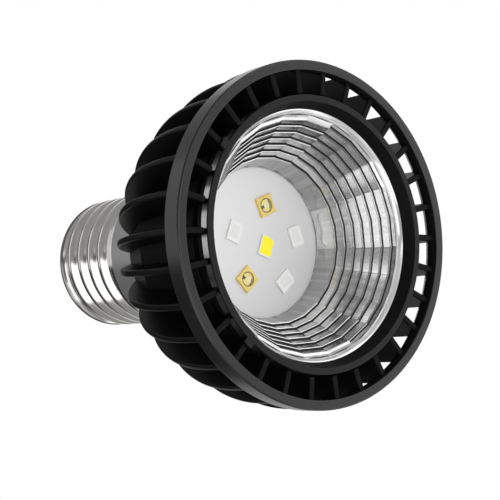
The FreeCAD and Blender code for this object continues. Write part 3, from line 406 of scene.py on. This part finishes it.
MIRROR, LINE, RIM, FLANGE, SHADED_MIRROR, EDGE_SHADE, LIP_LIGHT, LIP_DARK = range(8)
FACETS = 24
FACET_PHASE = 11.0
STEPS = 7
STEP_FIRST, STEP_PITCH = 12.8, 1.49
STEP_RADIUS, STEP_GROWTH = 15.3, 0.95
LEDGE, RISE = 0.26, 0.08
CORNER = 0.16
LIP = ((0.05, 0.14, LIP_LIGHT), (0.07, 0.10, LIP_LIGHT), (0.10, 0.04, LIP_DARK))
LIP_OUT, LIP_RISE = 0.27, 0.29
RIM_BORE, RIM_HIGH = 21.42, 3.3

# Spans round the cup, in degrees, on which single rows of faces have a finish of their own: mostly the
# darker mirror copies, painted shade, and outside the faceted span the rim's finish
FACETED_SPAN, LIP_SPAN, LAST_SPAN, FIRST_SPAN = (12, 148), (26, 132), (58, 148), (71, 101)


def facet_ring(height, radius):
    """A many-sided ring with its corners cut narrowly, as (x, y, z) points."""
    points = []
    for number in range(FACETS):
        angle = math.radians(FACET_PHASE) + TAU * number / FACETS
        along = Vector((-math.sin(angle), math.cos(angle), 0)) * CORNER / 2
        corner = Vector((radius * math.cos(angle), radius * math.sin(angle), height))
        pulled = corner - corner.normalized() * CORNER * 0.06
        points += [pulled - along, pulled + along]
    return points


def cup_levels():
    """Height, radius and finish of each outline of the cup, from the board to the rim."""
    levels = [(16.6, 13.95, MIRROR)]
    for number in range(STEPS):
        height = STEP_FIRST - number * STEP_PITCH
        radius = STEP_RADIUS + number * STEP_GROWTH - LEDGE / 2
        out, rise = LIP_OUT, LIP_RISE
        for grow, fall, finish in LIP:
            levels.append((height + rise, radius - out, finish))
            out -= grow
            rise -= fall
        # The ledge at each step is painted black, a painted groove shadow.
        levels.append((height + rise, radius - out, LINE))
        levels.append((height - RISE, radius + LEDGE, MIRROR))
    levels.append((RIM_HIGH, RIM_BORE, MIRROR))
    return levels


def inside(angle, span):
    return span[0] < angle < span[1]


def cup_finish(row, rows, finish, angle):
    """The finish of a face in this row at this angle round the cup, in degrees; the darker mirror copies
    it gives are painted shade.
    """
    if row > rows - 6 and not inside(angle, FACETED_SPAN):
        return RIM
    # Painted shade: inside the lip span the lip's bright part takes the darker mirror copy.
    if finish == LIP_LIGHT:
        return SHADED_MIRROR if inside(angle, LIP_SPAN) else MIRROR
    # Painted shade: inside the lip span the lip's outer edge takes the dim mirror.
    if finish == LIP_DARK:
        return EDGE_SHADE if inside(angle, LIP_SPAN) else MIRROR
    # Painted shade: the row by the board is darker outside the first span, and so is the last row inside
    # its span.
    if row == 0:
        return MIRROR if inside(angle, FIRST_SPAN) else SHADED_MIRROR
    if row == rows - 1:
        return SHADED_MIRROR if inside(angle, LAST_SPAN) else RIM
    return finish


cup = Shape()
count = 2 * FACETS
levels = cup_levels()
rows = len(levels) - 1
for row in range(rows):
    low, inner, finish = levels[row]
    high, outer = levels[row + 1][:2]
    ring = facet_ring(low, inner) + facet_ring(high, outer)
    for n in range(count):
        after = (n + 1) % count
        corners = [ring[index] for index in (n, after, count + after, count + n)]
        angle = math.degrees(math.atan2(ring[n][1], ring[n][0]))
        cup.add(corners, [(0, 1, 2, 3)], cup_finish(row, rows, finish, angle))
FLANGE_RADIUS, FLANGE_BACK = 24.3, 2.0
FOOT_RADIUS, FOOT_BORE, FOOT_BACK = 14.7, 13.8, 17.0
rim_profile = [(RIM_BORE, 3.35), (21.55, 3.05), (21.58, 3.04), (21.60, 2.96), (21.70, 2.78), (21.82, 2.6),
               (21.97, 2.44), (22.15, 2.31), (22.9, 2.3), (22.9, 1.3), (23.8, 1.3), (23.8, 0.45),
               (FLANGE_RADIUS, 0.45, 0.1), (FLANGE_RADIUS, FLANGE_BACK), (23.45, FLANGE_BACK),
               (23.45, 2.9), (22.8, 3.6), (FOOT_RADIUS, 15.5), (FOOT_RADIUS, FOOT_BACK),
               (FOOT_BORE, FOOT_BACK), (FOOT_BORE, 16.55), (13.9, 16.55)]
cup.lathe(rounded(rim_profile, closed=False), segments=192, slot=RIM, closed=False)
cup.finish_where(FLANGE, lambda radius, height: radius > 23.4 and height < FLANGE_BACK + 0.01)
# Painted shade: the cup's foot by the board takes the darker mirror copy.
cup.finish_where(SHADED_MIRROR, lambda radius, height: radius < 14.0 and height > 16.5)
cup_finishes = [mirror, step_shadow_line, mirror_rim, flange_satin, mirror_shaded, mirror_edge_shade]
reflector = cup.build("mirror_cup", cup_finishes, ["reflector"], sharp=4.0)
layer = reflector.data.uv_layers.new(name="UVMap")
for loop in reflector.data.loops:
    x, y, z = reflector.data.vertices[loop.vertex_index].co
    layer.data[loop.index].uv = ((math.atan2(y, x) / TAU) % 1.0, z / 0.03)

# LEDs on the board

ARRAY = Vector((-0.95, 1.3))
ARRAY_RADIUS, ARRAY_PHASE, ARRAY_COUNT = 7.6, 81.0, 5
BOARD = 17.0


def led_place(turn, number=None):
    """The seat of an LED on the board, its light side towards the front."""
    spot = ARRAY.copy()
    if number is not None:
        angle = math.radians(ARRAY_PHASE - 360 / ARRAY_COUNT * number)
        spot += ARRAY_RADIUS * Vector((math.cos(angle), math.sin(angle)))
    return turned(turn, spot.x, spot.y, BOARD)


def rectangle(length, width):
    x, y = length / 2, width / 2
    return [(-x, -y), (x, -y), (x, y), (-x, y)]


def circle_outline(radius, count=40, start=0.0, sweep=360.0):
    angles = [math.radians(start + sweep * number / count) for number in range(count + (sweep < 360))]
    return [(radius * math.cos(angle), radius * math.sin(angle)) for angle in angles]


SMALL_OUTLINE = [(-1.9, -1.45), (1.9, -1.45), (1.9, 0.95), (1.4, 1.45), (-1.9, 1.45)]
UV_HALF, UV_HIGH = 1.8, 0.5
WELL, WELL_DEEP, WELL_SIDES = 1.2, 0.28, 48
WELL_LINE, LINE_DEEP = 1.12, 0.01
RIM_INNER, RIM_DROP = 0.97, 0.05
SMALL_HIGH = 0.4


def uv_led(name, turn, number, gap_angle):
    """Gold base whose round well has a black line round it, with two dark gaps beside the chip."""
    place = led_place(turn, number)
    gap_angle -= turn
    face, floor = -UV_HIGH, -UV_HIGH + WELL_DEEP
    well = circle_outline(WELL, WELL_SIDES)
    rim = [(x * 3, y * 3) for x, y in well]
    rim = [(max(-UV_HALF, min(UV_HALF, x)), max(-UV_HALF, min(UV_HALF, y))) for x, y in rim]
    soft = [(x * RIM_INNER, y * RIM_INNER) for x, y in rim]
    line = [(x * WELL_LINE, y * WELL_LINE) for x, y in well]
    rows = [[(0, 0, floor)] * WELL_SIDES]
    for outline, height in ((well, floor), (well, face - LINE_DEEP), (line, face - LINE_DEEP),
                            (line, face), (soft, face), (rim, face + RIM_DROP), (rim, 0.0)):
        rows.append([(x, y, height) for x, y in outline])
    base = Shape()
    for row, slot in enumerate((2, 2, 1, 1, 0, 0, 0)):
        low, high = rows[row], rows[row + 1]
        for n in range(WELL_SIDES):
            after = (n + 1) % WELL_SIDES
            corners = [low[n], low[after], high[after], high[n]]
            if row == 0:
                corners = corners[1:]
            base.add([place @ Vector(corner) for corner in corners], [tuple(range(len(corners)))], slot)
    for start, inner, sweep in ((gap_angle - 22, 0.45, 44), (gap_angle + 150, 0.98, 80)):
        wedge = circle_outline(WELL * 0.97, 14, start, sweep)
        wedge += circle_outline(inner, 14, start + sweep, -sweep)
        base.plate(wedge, floor - 0.02, floor - 0.01, 0, place, slot=1)
    base.build(name, [gold, chip_dark, well_gold], [name.replace("base", "led")])


def small_led(name, node_name, place, window, fill):
    """White package with one cut corner round a filled window of this outline."""
    body = Shape()
    body.plate(SMALL_OUTLINE, -SMALL_HIGH, 0, 0.06, place)
    body.build(name, [ceramic], [node_name])
    pane = Shape()
    pane.plate(window, -SMALL_HIGH - 0.015, -SMALL_HIGH + 0.2, 0.05, place)
    pane.build(name + "_pane", [fill], [node_name.replace("led", "resin")])


uv_led("uv_base_a", 75.5, 1, 250)
uv_led("uv_base_b", 54.5, 3, 300)
clear_window = rectangle(2.4, 1.7)
for letter, turn, number in (("a", -11, 0), ("b", 29, 2), ("c", 56, 4)):
    small_led("clear_" + letter, "clear_led_" + letter, led_place(turn, number), clear_window, resin)
warm_window = [(-1.6, -1.25), (1.82, -1.25), (1.82, 0.9), (1.35, 1.38), (-1.6, 1.38)]
small_led("warm", "warm_led", led_place(27), warm_window, phosphor)

# Neck

NECK_START, NECK_END = 30.0, 57.5
NECK_BORE, NECK_PLUG, SHELL_PLUG = 10.2, 12.1, 11.4
SHELL_START = 45.9
neck = Shape()
neck.lathe(rounded([(NECK_BORE, NECK_START), (NECK_PLUG, NECK_START), (NECK_PLUG, CORE_BACK),
                    (14.3, CORE_BACK, 0.2), (13.4, SHELL_START, 0.35), (SHELL_PLUG, SHELL_START),
                    (SHELL_PLUG, NECK_END), (NECK_BORE, NECK_END)]))
neck.build("neck_collar", [neck_satin], ["neck"])

# Screw shell: collar, rolled thread and rolled end

PITCH = 3.629
THREAD_START, THREAD_TURNS = 48.0, 4.25
ROOT, CREST, RIDGE = 12.25, 13.1, 1.9
FADE, FADE_DROP = 0.14, 1.3
THREAD_LOW, THREAD_HIGH = 47.2, 64.9
COLLAR_RADIUS, COLLAR_END = 13.15, 46.9
ROLL_RADIUS, ROLL_START, ROLL_END = 12.95, 65.0, 66.4
SLOPE_LONG = 0.8
SHELL_BORE, MOUTH = 11.75, 10.6
WALL_ROWS, ROLLED_ROW = 190, 187
AROUND = 216


def eased(step):
    """A smooth step from 0 to 1."""
    return step * step * (3 - 2 * step)


def shell_wall(height):
    """Radius of the shell without its thread."""
    if height < COLLAR_END:
        return COLLAR_RADIUS
    if height < COLLAR_END + SLOPE_LONG:
        return COLLAR_RADIUS + (ROOT - COLLAR_RADIUS) * eased((height - COLLAR_END) / SLOPE_LONG)
    if height < ROLL_START - SLOPE_LONG:
        return ROOT
    if height < ROLL_START:
        return ROLL_RADIUS + (ROOT - ROLL_RADIUS) * eased((ROLL_START - height) / SLOPE_LONG)
    return ROLL_RADIUS


def thread_radius(angle, height):
    """Radius of the rolled ridge at this angle and height, faded at both ends."""
    best = 0.0
    turns = angle / TAU
    for turn in range(6):
        travel = turns + turn
        if travel > THREAD_TURNS:
            break
        away = abs(height - THREAD_START - PITCH * travel)
        if away < RIDGE:
            fade = eased(min(1.0, travel / FADE, (THREAD_TURNS - travel) / FADE))
            top = CREST - (1 - fade) * FADE_DROP
            best = max(best, top - RIDGE + math.sqrt(RIDGE ** 2 - away ** 2))
    return best


def soft_max(a, b, width=0.25):
    """The larger of two radii, with a rounded valley between them."""
    mix = max(width - abs(a - b), 0) / width
    return max(a, b) + mix * mix * width / 4


def shell_radius(angle, height):
    """Radius of the shell with its thread."""
    wall = shell_wall(height)
    if not THREAD_LOW < height < THREAD_HIGH:
        return wall
    return min(soft_max(wall, thread_radius(angle, height)), CREST)


wall_long = ROLL_START - SHELL_START
heights = [SHELL_START + wall_long * row / WALL_ROWS for row in range(WALL_ROWS + 1)]
roll = arc((ROLL_RADIUS, ROLL_START), (11.9, ROLL_END), 1.45, 1, 8)
roll += [(11.9, ROLL_END), (10.75, ROLL_END), (MOUTH, 66.3), (MOUTH, 65.6), (SHELL_BORE, 65.6),
         (SHELL_BORE, SHELL_START)]
angles = [TAU * number / AROUND for number in range(AROUND)]
rings = [[(shell_radius(angle, height), height) for angle in angles] for height in heights]
rings += [[(radius, height)] * AROUND for radius, height in roll[1:]]
shell = Shape()
rows = len(rings)
points = [(radius * math.cos(angle), radius * math.sin(angle), height)
          for ring in rings for angle, (radius, height) in zip(angles, ring)]
faces = []
for row in range(rows):
    low, high = row * AROUND, (row + 1) % rows * AROUND
    for n in range(AROUND):
        after = (n + 1) % AROUND
        faces.append((low + n, low + after, high + after, high + n))
shell.add(points, faces)
for number in range(ROLLED_ROW * AROUND, (rows - 2) * AROUND):
    shell.slots[number] = 1
shell.build("thread_shell", [nickel, nickel_rolled], ["screw_shell"], sharp=50.0)

# Insulator and centre contact

PLUG_START, PLUG_END = 63.9, 69.4
DOME_RADIUS, DOME_HIGH, LAMP_LONG = 4.8, 1.0, 71.1
plug = Shape()
cone = arc((10.3, 66.8), (5.4, PLUG_END), 14.0, -1, 10)
plug.lathe([(1.4, PLUG_START), (11.4, PLUG_START), (11.4, 65.6), (10.3, 65.6)] + cone
           + [(5.4, PLUG_END), (1.4, PLUG_END)])
plug.build("insulator_cone", [base_black], ["base_insulator"])
contact = Shape()
dome_bend = (DOME_RADIUS ** 2 / DOME_HIGH + DOME_HIGH) / 2
dome = arc((DOME_RADIUS, LAMP_LONG - DOME_HIGH), (0.0, LAMP_LONG), dome_bend, 1, 12)
stem = [(0, PLUG_START), (1.1, PLUG_START), (1.1, PLUG_END), (4.6, PLUG_END), (DOME_RADIUS, 69.6)]
contact.lathe(stem + dome + [(0, LAMP_LONG)], segments=96, closed=False)
contact.build("contact_dome", [solder], ["centre_contact"])

# Stage: a pale floor under the lamp. The photograph looks at the light side from below that
# floor, so the floor shows only from above, and neither shades the lamp nor shows in it.

FLOOR_HALF, FLOOR_HEIGHT = 3.0, -0.0002
floor_mesh = bpy.data.meshes.new("floor")
floor_corners = [(x, y, FLOOR_HEIGHT) for x, y in rectangle(2 * FLOOR_HALF, 2 * FLOOR_HALF)]
floor_mesh.from_pydata(floor_corners, [], [(0, 1, 2, 3)])
floor = bpy.data.objects.new("floor", floor_mesh)
bpy.context.scene.collection.objects.link(floor)
floor_finish = bpy.data.materials.new("floor_finish")
floor_finish.use_nodes = True
tree = floor_finish.node_tree
link = tree.links.new
plain = tree.nodes["Principled BSDF"]
plain.inputs["Base Color"].default_value = (0.86, 0.86, 0.86, 1)
plain.inputs["Roughness"].default_value = 0.8
plain.inputs["Emission Color"].default_value = (1, 1, 1, 1)
plain.inputs["Emission Strength"].default_value = 0.28
seen = node(tree, "NewGeometry")
gone = node(tree, "BsdfTransparent")
either = node(tree, "MixShader")
link(seen.outputs["Backfacing"], either.inputs[0])
link(plain.outputs["BSDF"], either.inputs[1])
link(gone.outputs["BSDF"], either.inputs[2])
link(either.outputs["Shader"], tree.nodes["Material Output"].inputs["Surface"])
floor_mesh.materials.append(floor_finish)
floor.visible_diffuse = False
floor.visible_glossy = False
floor.visible_transmission = False
floor.visible_shadow = False

# World: white behind the lamp; in its reflections a grey room, bright in front of the light side,
# with soft panels on its walls. Turn 0 is the room's side towards the lamp's left in the picture,
# rise 0 is the horizon, both in degrees. Each row of PANELS has a panel's turn, rise, width, height,
# softness of its edge and brightness, and a later panel covers the earlier ones.

PANELS = (
    (160, -56, 76, 22, 5, 0.78),
    (160, -38, 76, 16, 5, 1.40),
    (104, -48, 34, 40, 6, 0.85),
    (-128, -50, 60, 40, 6, 0.62),
    (58, -40, 60, 44, 6, 0.34),
    (-58, -42, 56, 34, 6, 0.58),
    (133, -26, 56, 34, 5, 1.5),
    (-133, -26, 56, 34, 5, 1.5),
    (-104, -44, 30, 44, 5, 0.40),
    (135, -62, 30, 20, 5, 1.0),
    (0, -45, 44, 56, 5, 0.12),
    (-22, -5, 62, 66, 3, 1.6),
    (101, 51, 122, 36, 4, 0.42),
    (152, 51, 56, 24, 4, 1.1),
    (28, 51, 72, 10, 3, 1.2),
    (10, 63, 60, 14, 3, 0.7),
    (-55, 56, 98, 24, 4, 0.03),
    (-145, 56, 74, 24, 4, 0.8),
    (0, 87, 360, 40, 4, 0.05),
)

world = bpy.data.worlds.new("studio")
bpy.context.scene.world = world
world.use_nodes = True
tree = world.node_tree
link = tree.links.new
direction = node(tree, "TexCoord")
axes = node(tree, "SeparateXYZ")
link(direction.outputs["Generated"], axes.inputs["Vector"])
DEGREES = 180 / math.pi
leftward = sums(tree, "MULTIPLY", axes.outputs["Y"], -1.0)
room_turn = sums(tree, "MULTIPLY", sums(tree, "ARCTAN2", axes.outputs["X"], leftward), DEGREES)
room_rise = sums(tree, "MULTIPLY", sums(tree, "ARCSINE", axes.outputs["Z"]), DEGREES)


def within(value, half, soft):
    """1 inside this half width, 0 outside, with a soft edge."""
    edge = node(tree, "MapRange", interpolation_type="SMOOTHSTEP", From_Min=half - soft,
                From_Max=half + soft, To_Min=1.0, To_Max=0.0)
    link(sums(tree, "ABSOLUTE", value), edge.inputs["Value"])
    return edge.outputs["Result"]


def panel(under, turn, rise, wide, high, soft, level):
    """Paint a panel of this brightness over the room."""
    across = sums(tree, "WRAP", sums(tree, "SUBTRACT", room_turn, turn), 180.0, -180.0)
    along = sums(tree, "SUBTRACT", room_rise, rise)
    mask = sums(tree, "MULTIPLY", within(across, wide / 2, soft), within(along, high / 2, soft))
    mixed = node(tree, "Mix", data_type="FLOAT")
    link(mask, mixed.inputs[0])
    link(under, mixed.inputs[2])
    mixed.inputs[3].default_value = level
    return mixed.outputs[0]


FRONT_RISE, FRONT_LEVEL = -70.0, 2.1
ROOM_RISE, ROOM_LEVEL = -14.0, 0.33
front = node(tree, "MapRange", interpolation_type="SMOOTHSTEP", From_Min=FRONT_RISE, From_Max=ROOM_RISE,
             To_Min=FRONT_LEVEL, To_Max=ROOM_LEVEL)
link(room_rise, front.inputs["Value"])
level = front.outputs["Result"]
for turn, rise, wide, high, soft, tone in PANELS:
    level = panel(level, turn, rise, wide, high, soft, tone)
room = tree.nodes["Background"]
room.inputs["Color"].default_value = (1, 1, 1, 1)
link(level, room.inputs["Strength"])
backdrop = node(tree, "Background", Color=(1, 1, 1, 1), Strength=1.0)
path = node(tree, "LightPath")
choice = node(tree, "MixShader")
link(path.outputs["Is Camera Ray"], choice.inputs[0])
link(room.outputs["Background"], choice.inputs[1])
link(backdrop.outputs["Background"], choice.inputs[2])
link(choice.outputs["Shader"], tree.nodes["World Output"].inputs["Surface"])

# Camera at the photograph's viewing angle, turned on its side because the lamp lies there

SENSOR, LENS = 36.0, 101.29
camera_data = bpy.data.cameras.new("camera")
camera_data.sensor_width = SENSOR
camera_data.lens = LENS
camera_data.clip_start = 0.01
camera = bpy.data.objects.new("camera", camera_data)
bpy.context.scene.collection.objects.link(camera)
right = Vector((-0.13360, 0.76998, -0.62393))
up = Vector((0.99104, 0.10380, -0.08411))
back = Vector((0.0, -0.62957, -0.77694))
spot = Vector((-1.157, -163.117, -181.403)) * MM
camera.matrix_world = Matrix.Translation(spot) @ Matrix((right, up, back)).transposed().to_4x4()
bpy.context.scene.camera = camera

bpy.context.scene.view_settings.view_transform = "Standard"
